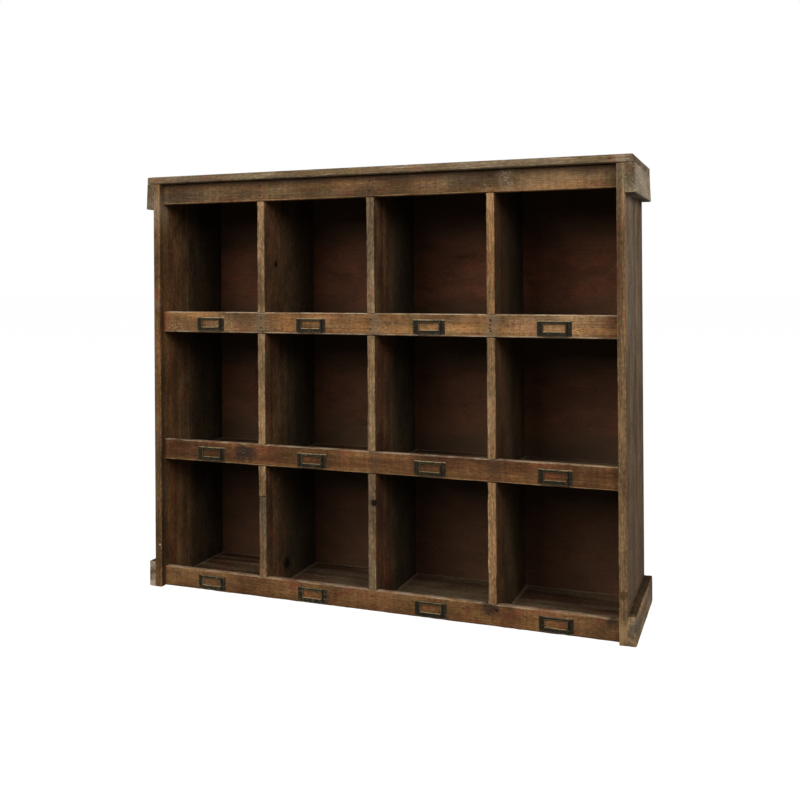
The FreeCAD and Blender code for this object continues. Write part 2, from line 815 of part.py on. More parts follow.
screws = new_body("hanger_screws", "0", "rear_face", "0")
SCREWS = [screw for group in HANGER_SCREWS.values() for screw in group]
heads = new_sketch(screws, "heads", "y")
add_circles(heads, SCREWS, "screw_head_radius")
pad(screws, "screw_heads", heads, "screw_head_height", "-y", taper=SINK_TAPER)
shanks = new_sketch(screws, "shanks", "y")
add_circles(shanks, SCREWS, "screw_radius")
pad(screws, "screw_shanks", shanks, "screw_length", "-y")

# Every object must be sound, and every sub-part a valid solid, before anything is written.

document.recompute()
for item in document.Objects:
    if "Invalid" in item.State or "Error" in item.State:
        raise RuntimeError(f"{item.Label} failed: {item.State}")
sub_parts = [item for item in document.Objects if item.TypeId == "PartDesign::Body"]
for item in sub_parts:
    if item.Shape.isNull() or not item.Shape.isValid() or not item.Shape.Solids:
        raise RuntimeError(item.Label + " has no valid solid")

os.makedirs("parts", exist_ok=True)
for item in sub_parts:
    item.Shape.exportStep(f"parts/{item.Label}.step")
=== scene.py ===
import math

import bpy
from bpy.props import FloatProperty, FloatVectorProperty, PointerProperty
from mathutils import Matrix, Vector


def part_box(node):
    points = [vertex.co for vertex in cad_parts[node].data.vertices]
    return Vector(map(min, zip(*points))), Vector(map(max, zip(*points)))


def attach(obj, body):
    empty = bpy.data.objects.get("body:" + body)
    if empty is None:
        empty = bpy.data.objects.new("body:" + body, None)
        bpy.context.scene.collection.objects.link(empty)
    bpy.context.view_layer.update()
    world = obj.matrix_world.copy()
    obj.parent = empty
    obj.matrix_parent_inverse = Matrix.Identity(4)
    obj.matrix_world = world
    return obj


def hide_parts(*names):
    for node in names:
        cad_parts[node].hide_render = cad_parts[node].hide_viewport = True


bl_info = {
    "name": "Cubby Wall Shelf",
    "version": (1, 0, 0),
    "blender": (4, 5, 0),
    "location": "3D View > Sidebar > Cubby Shelf",
    "description": "Finishes a wall shelf of reclaimed wood with open cubbies",
    "category": "Object",
}

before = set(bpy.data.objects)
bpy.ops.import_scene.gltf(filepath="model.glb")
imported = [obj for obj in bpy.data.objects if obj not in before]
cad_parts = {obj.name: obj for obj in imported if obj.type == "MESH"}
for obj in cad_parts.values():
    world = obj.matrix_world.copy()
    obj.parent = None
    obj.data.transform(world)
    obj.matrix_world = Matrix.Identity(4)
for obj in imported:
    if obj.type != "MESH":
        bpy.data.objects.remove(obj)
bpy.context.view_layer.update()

# fronts of the side panels, top board and cleats, and of the rails and dividers, in millimetres
PANEL_FRONT = -140
RAIL_FRONT = -125

# worn boards: the spacing of the cuts along a board in millimetres, and the rest in metres
CUT_SPACING = 8
CUT_INSETS = (0.003, 0.0065)  # the cuts beside an arris
THIN_BOARD = 0.016  # up to this thickness a board has only the outer cuts
SHORTEST_EDGE = 0.0001  # shorter edges are merged after the cuts
WEAR_REACH = 0.0062  # how far the wear goes from an arris

# lens of the camera in millimetres, place in metres, and turns in degrees, the last one made first
CAMERA_LENS = 43.15
CAMERA_SHIFT = -0.1565
CAMERA_PLACE = (0.7915, -2.0335, 0.7210)
CAMERA_TURNS = (("Z", 20.744), ("X", 90.094), ("Z", -0.363))

# studio: metres, but degrees for the elevation and a strength for the glow
LAMP_TARGET = (0, 0, 0.45)
LAMP_ELEVATION = 28
LAMP_DISTANCE = 4.0
FLOOR_GAP = 0.0006
FLOOR_GLOW = 0.96

HOLE_COLOUR = (0.006, 0.005, 0.004)

ROWS = (1, 2, 3)
COLUMNS = (1, 2, 3, 4)
DIVIDERS = ("left_divider", "middle_divider", "right_divider")
HOLDERS = [f"label_holder_row{row}_column{column}" for row in ROWS for column in COLUMNS]
# how strong a holder's rubbed edges with painted highlight are at the window's foot, at its other sides
# and along the upper edge
RUBBED_AND_HIGHLIT_LINES = {"row1": (1.0, 0.3, 0.8), "row2": (0.55, 0.25, 0.6), "row3": (0.7, 0.55, 0.3)}
# holders with more of the rubbed tone in their mottles than the rest
MOTTLED = {"label_holder_row3_column1": 0.25, "label_holder_row3_column2": 0.25}
NAILS = [
    "rail_nails",
    "top_board_nails",
    "back_panel_nails",
    "base_cleat_nails_left",
    "base_cleat_nails_right",
    "top_cleat_nails_left",
    "top_cleat_nails_right",
]


def colour(red, green, blue):
    """A colour on the 0 to 255 screen scale, as the linear values that Blender keeps."""
    shares = [value / 255 for value in (red, green, blue)]
    return tuple(s / 12.92 if s <= 0.04045 else ((s + 0.055) / 1.055) ** 2.4 for s in shares)


def colour_setting(name, description, *screen):
    """A colour property with its default on the 0 to 255 screen scale."""
    return FloatVectorProperty(
        name=name,
        description=description,
        subtype="COLOR",
        min=0,
        max=1,
        default=colour(*screen),
    )


class CUBBY_PG_wood(bpy.types.PropertyGroup):
    """Colours of the boards"""

    worn: colour_setting("Worn arrises", "Bare wood along the worn edges", 172, 138, 98)
    honey: colour_setting("Honey", "Pale streaks in the warm rails", 152, 108, 63)
    tan: colour_setting("Tan", "Middle tone of the warm rails", 116, 81, 48)
    russet: colour_setting("Russet", "Middle tone of the reddish rails", 92, 59, 35)
    umber: colour_setting("Umber", "Dark streaks in every board", 46, 31, 19)
    driftwood: colour_setting("Driftwood", "Weathered grey on the outer faces", 112, 98, 78)
    bark: colour_setting("Bark", "Middle tone of the outer faces", 92, 69, 46)
    chestnut: colour_setting("Chestnut", "Middle tone inside the cubbies", 76, 48, 33)
    # dirt deep in the cubbies, also laid as painted shade towards their backs and painted shadow under
    # the shelves
    soot_and_shade: colour_setting("Soot", "Dirt deep in the cubbies", 58, 49, 35)
    oxblood: colour_setting("Oxblood", "Old stain on the back panel", 90, 56, 39)
    dust: colour_setting("Dust", "Dust on the floor and the shelves", 112, 94, 72)
    cherry: colour_setting("Cherry", "Reddish patches in the rails and walls", 112, 62, 42)
    olive: colour_setting("Olive", "Greenish patches in the grain", 100, 86, 50)
    iron_stain: colour_setting("Iron stain", "Stain round the nails and knots", 42, 33, 27)
    ash: colour_setting("Ash", "Palest grey of the weathered ends", 184, 165, 139)


class CUBBY_PG_metal(bpy.types.PropertyGroup):
    """Colours of the label holders and the fixings"""

    bronze: colour_setting("Bronze", "Aged coating of the label holders", 27, 21, 11)
    # also the tone of the painted highlight along the label holders' upward edges
    rubbed: colour_setting("Rubbed edge", "Metal that shows on rubbed edges", 176, 156, 116)
    rust: colour_setting("Rust", "Rust on the nails", 70, 44, 30)
    zinc: colour_setting("Zinc", "Dull zinc of the hanger plates", 150, 150, 146)


class CUBBY_PG_stage(bpy.types.PropertyGroup):
    """Lamps and floor"""

    left_power: FloatProperty(
        name="Left lamp", description="Power of the lamp in front on the left", unit="POWER", default=122
    )
    right_power: FloatProperty(
        name="Right lamp", description="Power of the lamp out to the right", unit="POWER", default=85
    )
    ambient: FloatProperty(
        name="Ambient", description="Strength of the surrounding light", min=0, default=0.17
    )
    floor_tone: colour_setting("Floor", "Colour of the studio floor", 120, 120, 120)


class Nodes:
    """The node tree of a material or of the surroundings, built from nothing."""

    def __init__(self, owner):
        owner.use_nodes = True
        self.tree = owner.node_tree
        self.tree.nodes.clear()

    def add(self, kind, inputs=(), **settings):
        """A new node with its settings made and each of its inputs linked or set."""
        node = self.tree.nodes.new(kind)
        for key, value in settings.items():
            setattr(node, key, value)
        for key, value in dict(inputs).items():
            if isinstance(value, bpy.types.NodeSocket):
                self.tree.links.new(value, node.inputs[key])
            else:
                node.inputs[key].default_value = value
        return node

    def maths(self, operation, first, second=0.0):
        return self.add("ShaderNodeMath", {0: first, 1: second}, operation=operation).outputs[0]

    def times(self, first, second):
        return self.maths("MULTIPLY", first, second)


class Finish(Nodes):
    """One material, and the words that the finishes of wood and metal share."""

    def __init__(self, name):
        self.material = bpy.data.materials.new(name)
        super().__init__(self.material)
        self.place = self.add("ShaderNodeTexCoord").outputs["Object"]
        self.axes = self.parts(self.place)

    def parts(self, vector):
        split = self.add("ShaderNodeSeparateXYZ", {0: vector}).outputs
        return {"x": split[0], "y": split[1], "z": split[2]}

    def vector(self, operation, first, second=(0, 0, 0)):
        node = self.add("ShaderNodeVectorMath", {0: first, 1: second}, operation=operation)
        return node.outputs["Value" if operation == "LENGTH" else "Vector"]

    def turned(self, grain, shift):
        """The object's coordinates with X along the grain, moved so that no two boards match."""
        turns = {"x": (0, 0, 0), "y": (0, 0, math.radians(-90)), "z": (0, math.radians(90), 0)}
        inputs = {"Vector": self.place, "Rotation": turns[grain], "Location": shift}
        return self.add("ShaderNodeMapping", inputs).outputs[0]

    def noise(self, where, scale, detail=3.0, roughness=0.55, distortion=0.0):
        """Noise from 0 to 1; a scale of three numbers stretches it."""
        if isinstance(scale, tuple):
            where = self.add("ShaderNodeMapping", {"Vector": where, "Scale": scale}).outputs[0]
            scale = 1.0
        inputs = {
            "Vector": where,
            "Scale": scale,
            "Detail": detail,
            "Roughness": roughness,
            "Distortion": distortion,
        }
        return self.add("ShaderNodeTexNoise", inputs).outputs[0]

    def spread(self, value, low, high, out_low=0.0, out_high=1.0):
        """A value eased from one range to another."""
        inputs = {
            "Value": value,
            "From Min": low,
            "From Max": high,
            "To Min": out_low,
            "To Max": out_high,
        }
        return self.add("ShaderNodeMapRange", inputs, interpolation_type="SMOOTHSTEP").outputs[0]

    def blend(self, factor, first, second, mode="MIX"):
        """Two colours mixed by a factor."""
        first, second = [(*c, 1) if isinstance(c, tuple) else c for c in (first, second)]
        inputs = {0: factor, 6: first, 7: second}
        return self.add("ShaderNodeMix", inputs, data_type="RGBA", blend_type=mode).outputs[2]

    def grey(self, value):
        """A grey as bright as a value."""
        return self.add("ShaderNodeCombineColor", {0: value, 1: value, 2: value}).outputs[0]

    def bump(self, height, distance):
        return self.add("ShaderNodeBump", {"Height": height, "Distance": distance}).outputs[0]

    def surface(self, base, roughness, normal, specular, metallic=0.0):
        """Close the material with its shader, and hand it over."""
        inputs = {
            "Base Color": base,
            "Roughness": roughness,
            "Metallic": metallic,
            "Specular IOR Level": specular,
            "Normal": normal,
        }
        shader = self.add("ShaderNodeBsdfPrincipled", inputs)
        self.add("ShaderNodeOutputMaterial", {"Surface": shader.outputs[0]})
        return self.material


def only(piece):
    """Make a piece the one that the next operators act on."""
    bpy.ops.object.select_all(action="DESELECT")
    piece.select_set(True)
    bpy.context.view_layer.objects.active = piece


def cut_across(axis, place):
    """Add a ring of edges where a plane across an axis meets the piece in edit mode."""
    point, normal = [0.0, 0.0, 0.0], [0.0, 0.0, 0.0]
    point[axis], normal[axis] = place, 1.0
    bpy.ops.mesh.select_all(action="SELECT")
    bpy.ops.mesh.bisect(plane_co=point, plane_no=normal)


def press_in(piece, name, depth, cloud_size, weight):
    """Press the surface in by a cloudy depth where the weight says; both sizes are in metres."""
    group = piece.vertex_groups.new(name=name)
    for point in piece.data.vertices:
        share = weight(point.co)
        if share > 0:
            group.add([point.index], share, "REPLACE")
    dents = piece.modifiers.new(name, "DISPLACE")
    dents.vertex_group = name
    dents.direction = "NORMAL"
    dents.mid_level = 0
    dents.strength = -depth
    dents.texture = bpy.data.textures.new(name, "CLOUDS")
    dents.texture.noise_scale = cloud_size
    dents.texture.contrast = 1.6
    bpy.ops.object.modifier_apply(modifier=name)
    piece.vertex_groups.clear()


def arris_weight(low, high, kept):
    """How near a point is to an arris, from 1 on it to 0 out of reach; kept sides have no arrises."""

    def weight(point):
        depths = []
        for i in range(3):
            sides = [(point[i] - low[i], (i, "low")), (high[i] - point[i], (i, "high"))]
            depths.append(min((depth for depth, side in sides if side not in kept), default=1.0))
        return max(0.0, 1 - sorted(depths)[1] / WEAR_REACH)

    return weight


def wear_down(node, axis, wear=1.4, kept=()):
    """A copy of a board, long on an axis, with uneven, dented arrises; the wear is in millimetres."""
    piece = bpy.data.objects.new(f"worn_{node}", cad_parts[node].data.copy())
    bpy.context.scene.collection.objects.link(piece)
    only(piece)
    low, high = (Vector(corner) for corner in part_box(node))
    bpy.ops.mesh.customdata_custom_splitnormals_clear()
    bpy.ops.object.mode_set(mode="EDIT")
    bpy.ops.mesh.select_all(action="SELECT")
    bpy.ops.mesh.remove_doubles(threshold=1e-6)
    bpy.ops.mesh.dissolve_limited(angle_limit=math.radians(0.5))
    for side in range(3):
        length = high[side] - low[side]
        if side == axis:
            steps = round(length * 1000 / CUT_SPACING)
            uneven = [i + 0.33 * math.sin(2.4 * i) for i in range(1, steps)]
            places = [low[side] + length * i / steps for i in uneven]
        else:
            insets = CUT_INSETS if length > THIN_BOARD else CUT_INSETS[:1]
            places = [place for inset in insets for place in (low[side] + inset, high[side] - inset)]
        for place in places:
            cut_across(side, place)
    bpy.ops.mesh.select_all(action="SELECT")
    bpy.ops.mesh.remove_doubles(threshold=SHORTEST_EDGE)
    bpy.ops.mesh.dissolve_degenerate(threshold=SHORTEST_EDGE)
    bpy.ops.mesh.quads_convert_to_tris()
    bpy.ops.object.mode_set(mode="OBJECT")
    weight = arris_weight(low, high, kept)
    for name, cloud_size in (("dents", 0.014), ("waves", 0.05)):
        press_in(piece, f"{node}_{name}", wear / 1000, cloud_size, weight)
    bpy.ops.object.shade_smooth_by_angle(angle=math.radians(40))
    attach(piece, "root")
    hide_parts(node)


def finish_node(node, material):
    """Give a carried-over piece, or the worn board in its place, its material."""
    piece = bpy.data.objects.get(f"worn_{node}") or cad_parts[node]
    piece.data.materials.clear()
    piece.data.materials.append(material)


def wood_colour(name):
    """A tone of the wood by its name among the settings."""
    return tuple(getattr(bpy.context.scene.cubby_wood, name))


# each mark's tints, as size, tone, share and solid share, and its hole's size; 1 is the mark's own size
MARKS = {
    "nail": ([(3, "iron_stain", 0.7, 0.2)], 1),
    "knot": ([(1.8, "umber", 0.8, 0.2)], 1),
    "ringed knot": ([(7, "iron_stain", 0.85, 0.2), (2.2, "driftwood", 0.4, 0.7)], 1.3),
    "sound knot": ([(2.2, "umber", 0.75, 0.5), (1.2, "tan", 0.6, 0.4), (0.6, "umber", 0.95, 0.5)], 0),
    "stain": ([(1, "iron_stain", 0.9, 0.2)], 0),
    "grey": ([(1, "driftwood", 0.6, 0.0)], 0),
    "chip": ([(1, "ash", 1.0, 0.6)], 0),
}


class Wood(Finish):
    """Old wood: growth rings, streaks, fibres, blotches, worn edges and local marks."""

    def __init__(self, node, grain, shift, greenish=0.3, reddish=0.45):
        super().__init__(node)
        self.node = node
        self.greenish = greenish
        self.reddish = reddish
        self.along = self.turned(grain, shift)
        self.streaks = self.noise(self.along, (3.2, 170, 170), 4.0, 0.6)
        self.bleached = self.noise(self.along, (12, 300, 300), 3.0, 0.55)
        self.dashes = self.noise(self.along, (95, 420, 420), 2.0, 0.6)
        self.bands = self.noise(self.along, (1.6, 42, 42), 3.0, 0.5)
        self.fibres = self.noise(self.along, (16, 1000, 1000), 3.0, 0.65)
        self.blotches = self.noise(self.along, (12, 24, 24), 5.0, 0.6, 0.4)
        self.cloud = self.noise(self.along, (2.6, 8, 8), 3.0, 0.5)
        self.flush = self.noise(self.along, (17, 30, 30), 4.0, 0.6, 0.3)
        self.tinge = self.noise(self.along, (19, 27, 27), 4.0, 0.6, 0.2)
        self.mottle = self.noise(self.along, (110, 200, 200), 3.0, 0.6)
        self.ragged = self.noise(self.place, 150.0, 3.0, 0.6)
        self.rings = self.growth_rings()
        self.colour = None
        self.height = self.maths("SUBTRACT", self.times(self.fibres, 0.7), self.times(self.rings, 0.25))

    def edge_distance(self):
        """How far a point of the board's surface lies from the board's nearest edge, in metres."""
        low, high = (Vector(corner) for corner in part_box(self.node))
        offset = self.vector("SUBTRACT", self.place, tuple((low + high) / 2))
        half = tuple((high - low) / 2)
        inside = self.parts(self.vector("SUBTRACT", half, self.vector("ABSOLUTE", offset)))
        pairs = [self.maths("MAXIMUM", inside[a], inside[b]) for a, b in ("xy", "yz", "xz")]
        return self.maths("MINIMUM", self.maths("MINIMUM", pairs[0], pairs[1]), pairs[2])

    def spot(self, centre, radius, solid=0.5):
        """A ragged spot round a point, in millimetres, solid out to a share of its radius."""
        offset = self.vector("SUBTRACT", self.place, tuple(value / 1000 for value in centre))
        uneven = self.times(self.maths("SUBTRACT", self.ragged, 0.5), radius / 1000)
        away = self.maths("ADD", self.vector("LENGTH", offset), uneven)
        return self.spread(away, radius / 1000, solid * radius / 1000)

    def growth_rings(self):
        """Late wood of rings round a pith outside the board, wandering along the grain."""
        wander = self.noise(self.along, (1.6, 14, 14), 2.0)
        across = self.parts(self.along)
        flat = self.add("ShaderNodeCombineXYZ", {1: across["y"], 2: across["z"]}).outputs[0]
        radius = self.maths("ADD", self.vector("LENGTH", flat), self.times(wander, 0.06))
        ring = self.maths("FRACT", self.times(radius, 190.0))
        return self.times(self.spread(ring, 0.3, 0.8), self.spread(ring, 1.0, 0.88))

    def toned(self, tones, grey_share, streaked):
        """A pale, a middle, a dark and a grey tone, laid in bands, streaks, blotches and clouds."""
        pale, middle, dark, grey = (wood_colour(name) for name in tones)
        base = self.blend(self.spread(self.bands, 0.4, 0.62), middle, pale)
        base = self.blend(self.spread(self.streaks, 0.5, 0.68, 0.0, streaked), base, dark)
        base = self.blend(self.spread(self.blotches, 0.52, 0.72, 0.0, 0.55), base, dark)
        base = self.blend(self.spread(self.bleached, 0.54, 0.7, 0.0, 0.45), base, grey)
        flush = self.spread(self.flush, 0.5, 0.66, 0.0, self.reddish)
        base = self.blend(flush, base, wood_colour("cherry"))
        tinge = self.spread(self.tinge, 0.5, 0.64, 0.0, self.greenish)
        base = self.blend(tinge, base, wood_colour("olive"))
        return self.blend(self.spread(self.cloud, 0.48, 0.64, 0.0, grey_share), base, grey)

    def base(self, *tones, grey_share=0.3, streaked=0.4):
        """The tones of the whole board."""
        self.colour = self.toned(tones, grey_share, streaked)

    def front_edge(self, front, *tones, grey_share=0.3, streaked=0.4):
        """Other tones on the narrow face at the front, whose place is in millimetres."""
        edge = self.spread(self.axes["y"], (front + 4) / 1000, (front + 1) / 1000)
        self.colour = self.blend(edge, self.colour, self.toned(tones, grey_share, streaked))

    def lay(self, mask, name):
        """Lay a tone over the board where the mask says."""
        self.colour = self.blend(mask, self.colour, wood_colour(name))

    def shade(self, value, share=1.0):
        """Darken or lighten the board by a value round 1."""
        self.colour = self.blend(share, self.colour, self.grey(value), "MULTIPLY")

    def sink(self, mask, depth):
        """Lower the relief where the mask says."""
        self.height = self.maths("SUBTRACT", self.height, self.times(mask, depth))

    def uneven_place(self, axis, ragged):
        """The place on an axis, moved to and fro by the blotches, in millimetres."""
        uneven = self.times(self.maths("SUBTRACT", self.blotches, 0.5), ragged / 1000)
        return self.maths("ADD", self.axes[axis], uneven)

    def band(self, axis, start, end, name, share, ragged=0.0):
        """A tone that comes in between two places on an axis, in millimetres."""
        place = self.uneven_place(axis, ragged)
        self.lay(self.spread(place, start / 1000, end / 1000, 0.0, share), name)

    def front_tone(self, front, name, share):
        """A tone on the narrow face at the front alone, whose place is in millimetres."""
        self.band("y", front + 2, front + 0.5, name, share)

    def stripe(self, axis, middle, width, name, share, ragged=0.0):
        """A soft stripe across an axis, in millimetres."""
        place = self.uneven_place(axis, ragged)
        away = self.maths("ABSOLUTE", self.maths("SUBTRACT", place, middle / 1000))
        self.lay(self.spread(away, width / 1000, width / 3000, 0.0, share), name)

    def grained(self, rings=0.16, patchy=0.22, fibrous=1.0):
        """Rings, fibres and mottles over the tones."""
        self.lay(self.times(self.rings, rings), "umber")
        fibres = self.spread(self.fibres, 0.3, 0.68, 0.72, 1.2)
        fine = self.times(fibres, self.spread(self.mottle, 0.3, 0.7, 1.22, 0.74))
        self.shade(self.times(fine, self.spread(self.dashes, 0.35, 0.6, 1.12, 0.78)), fibrous)
        patches = self.noise(self.along, (9, 16, 16), 2.0, 0.5)
        self.shade(self.spread(patches, 0.35, 0.65, 1 + patchy, 1 - patchy))
        specks = self.spread(self.noise(self.along, (90, 260, 260), 2.0, 0.5), 0.65, 0.73, 0.0, 0.65)
        self.lay(specks, "umber")
        self.sink(specks, 0.6)

    def worn(self, share, width=2.2):
        """Broken pale arrises of a width in millimetres."""
        edge = self.maths("ADD", self.edge_distance(), self.times(self.blotches, 0.006))
        worn = self.spread(edge, 0.003 + width / 1000, 0.003, 0.0, share)
        self.lay(self.times(worn, self.spread(self.mottle, 0.62, 0.38)), "worn")

    def crack(self, height, start, end):
        """A thin crack at a height, wandering along X from a start to an end, in millimetres."""
        course = self.times(self.maths("SUBTRACT", self.noise(self.place, 60.0, 2.0), 0.5), 0.006)
        away = self.maths("SUBTRACT", self.axes["z"], height / 1000)
        away = self.maths("ABSOLUTE", self.maths("ADD", away, course))
        run = self.spread(self.axes["x"], start / 1000, (start + 6) / 1000)
        run = self.times(run, self.spread(self.axes["x"], end / 1000, (end - 6) / 1000))
        mask = self.times(run, self.spread(away, 0.0016, 0.0006))
        self.lay(mask, "umber")
        self.sink(mask, 1.5)

    def arris_line(self, low, high, share, name="worn"):
        """A thin broken line of another tone between two heights in millimetres."""
        height = self.axes["z"]
        inside = self.spread(height, (low - 0.5) / 1000, (low + 0.5) / 1000)
        inside = self.times(inside, self.spread(height, (high + 0.5) / 1000, (high - 0.5) / 1000))
        broken = self.spread(self.noise(self.along, (22, 50, 50), 3.0, 0.6), 0.36, 0.58, 0.2, 1.0)
        self.lay(self.times(self.times(inside, broken), share), name)

    def scuff(self, x, z, size, name, share):
        """Flecks of another tone round a point of a rail's front, in millimetres."""
        flecks = self.spread(self.noise(self.place, (260, 260, 420), 3.0, 0.65), 0.5, 0.62)
        round_it = self.spot((x, RAIL_FRONT, z), size, solid=0.0)
        self.lay(self.times(round_it, self.times(flecks, share)), name)

    def saw_marks(self, share):
        """Faint marks of the saw across the grain."""
        marks = self.noise(self.along, (150, 7, 7), 2.0, 0.6)
        self.shade(self.spread(marks, 0.35, 0.65, 1 - share, 1 + share))

    def tint(self, centre, size, name, share, solid=0.2):
        """A spot of another tone, broken up by the grain, round a point in millimetres."""
        mask = self.times(self.spot(centre, size, solid), share)
        self.lay(self.times(mask, self.spread(self.mottle, 0.25, 0.6, 0.6, 1.0)), name)

    def mark(self, kind, *centre, size):
        """A nail hole, knot, stain or chip of a size in millimetres round a point."""
        tints, hole = MARKS[kind]
        for width, name, share, solid in tints:
            self.tint(centre, size * width, name, share, solid)
        if hole:
            mask = self.spot(centre, size * hole)
            self.colour = self.blend(mask, self.colour, HOLE_COLOUR)
            self.sink(mask, 3.0)

    def done(self, rough=0.66):
        """Give the board its finish."""
        roughness = self.spread(self.blotches, 0.3, 0.7, rough - 0.08, rough + 0.14)
        relief = self.bump(self.height, 0.0006)
        finish_node(self.node, self.surface(self.colour, roughness, relief, specular=0.05))


class CubbyOperator(bpy.types.Operator):
    bl_options = {"REGISTER", "UNDO"}


class CUBBY_OT_worn_boards(CubbyOperator):
    """Boards with the dented, uneven arrises of old timber"""

    bl_idname = "cubby.worn_boards"
    bl_label = "Worn Boards"

    def execute(self, context):
        wear_down("top_board", 0)
        for side, inner, outer in (("left", "high", "low"), ("right", "low", "high")):
            kept = [(0, inner)]
            wear_down(f"base_cleat_{side}", 1, wear=1.5, kept=kept)
            wear_down(f"top_cleat_{side}", 1, wear=1.0, kept=[*kept, (2, "high")])
            wear_down(f"{side}_side_panel", 2, wear=1.0, kept=[(0, outer)])
        for node in ("top_rail", "upper_shelf_rail"):
            wear_down(node, 0)
        for node in ("lower_shelf_rail", "base_rail"):
            wear_down(node, 0)
        for node in (*DIVIDERS, "left_divider_splice"):
            wear_down(node, 2, wear=1.6, kept=[(2, "low"), (2, "high")])
        return {"FINISHED"}


class CUBBY_OT_side_panels(CubbyOperator):
    """Weathered side panels with tan front edges"""

    bl_idname = "cubby.side_panels"
    bl_label = "Side Panels"

    def execute(self, context):
        left = Wood("left_side_panel", "z", (0.31, 0.07, 0.11))
        left.base("tan", "bark", "umber", "chestnut", grey_share=0.2)
        # darker towards the back of the cubby: dirt and painted shade
        left.band("y", -60, 20, "soot_and_shade", 0.92, ragged=70)
        left.stripe("y", -25, 5, "driftwood", 0.2, ragged=14)
        left.stripe("y", -95, 16, "cherry", 0.3, ragged=20)
        left.stripe("y", -131, 8, "umber", 0.45, ragged=3)
        left.tint((-520, -132, 915), 36, "umber", 0.6)
        left.front_edge(PANEL_FRONT, "tan", "bark", "umber", "driftwood", grey_share=0.4)
        left.tint((-526, PANEL_FRONT, 880), 60, "ash", 0.25)
        left.grained()
        left.worn(0.5)
        left.mark("grey", -529, PANEL_FRONT, 660, size=14)
        left.mark("chip", -529, PANEL_FRONT, 99, size=3)
        left.done()
        right = Wood("right_side_panel", "z", (1.73, 0.09, 0.04))
        right.base("tan", "bark", "umber", "driftwood", grey_share=0.3)
        right.band("x", 533.5, 536.5, "driftwood", 0.45, ragged=4)
        for y, width, tone, share in (
            (-126, 22, "honey", 0.5),
            (-70, 50, "driftwood", 0.6),
            (-94, 8, "umber", 0.25),
            (2, 32, "umber", 0.4),
            (36, 22, "honey", 0.5),
            (62, 9, "umber", 0.35),
            (84, 16, "olive", 0.45),
            (118, 40, "umber", 0.4),
        ):
            right.stripe("y", y, width, tone, share, ragged=14)
        right.band("z", 520, 60, "bark", 0.55, ragged=200)
        right.band("x", 539, 541, "ash", 0.12)
        front = ("worn", "bark", "umber", "driftwood")
        right.front_edge(PANEL_FRONT, *front, grey_share=0.45, streaked=0.45)
        right.band("z", 640, 480, "bark", 0.55)
        right.tint((533, PANEL_FRONT, 925), 40, "driftwood", 0.6)
        right.grained()
        right.worn(0.3)
        right.tint((533, PANEL_FRONT, 24), 34, "worn", 0.55)
        right.mark("sound knot", 534, PANEL_FRONT, 99, size=4.5)
        right.done(rough=0.74)
        return {"FINISHED"}


class CUBBY_OT_top_and_cleats(CubbyOperator):
    """Weathered top board and the cleats at its ends and at the foot"""

    bl_idname = "cubby.top_and_cleats"
    bl_label = "Top Board and Cleats"

    def execute(self, context):
        top = Wood("top_board", "x", (0.2, 0.05, 0.12))
        top.base("driftwood", "bark", "umber", "ash", grey_share=0.4)
        top.grained()
        top.worn(0.5)
        top.front_tone(PANEL_FRONT, "worn", 0.1)
        top.crack(949, 506, 556)
        top.tint((524, PANEL_FRONT, 943), 26, "cherry", 0.45)
        top.tint((535, PANEL_FRONT, 943), 24, "ash", 0.4)
        top.mark("nail", 546, PANEL_FRONT, 942, size=1.3)
        top.done(rough=0.72)
        weathered = ("driftwood", "bark", "umber", "driftwood")
        cleats = {
            "top_cleat_left": (weathered, weathered),
            "top_cleat_right": (
                ("ash", "ash", "driftwood", "ash"),
                ("driftwood", "driftwood", "bark", "ash"),
            ),
            "base_cleat_left": (
                ("driftwood", "driftwood", "umber", "driftwood"),
                ("ash", "driftwood", "umber", "driftwood"),
            ),
            "base_cleat_right": (
                ("worn", "driftwood", "bark", "olive"),
                ("worn", "driftwood", "umber", "driftwood"),
            ),
        }
        for number, (node, (sides, front)) in enumerate(cleats.items()):
            cleat = Wood(node, "y", (0.4 * number, 0.06, 0.05 + 0.03 * number))
            cleat.base(*sides, grey_share=0.5, streaked=0.3)
            if "base" in node:
                cleat.band("z", 56.8, 57.8, "umber", 0.88)
            else:
                # painted shadow under the top cleats, on their undersides and the foot of their sides
                cleat.band("z", 883.2, 881.6, "umber", 0.85)
            cleat.front_edge(PANEL_FRONT, *front, grey_share=0.5, streaked=0.3)
            if node == "top_cleat_right":
                cleat.tint((551, PANEL_FRONT, 928), 16, "cherry", 0.4)
                cleat.tint((562, -20, 915), 110, "ash", 0.5)
            if node == "base_cleat_right":
                cleat.tint((553, PANEL_FRONT, 47), 22, "driftwood", 0.65)
            cleat.grained()
            cleat.worn(0.6)
            cleat.done(rough=0.72)
        return {"FINISHED"}


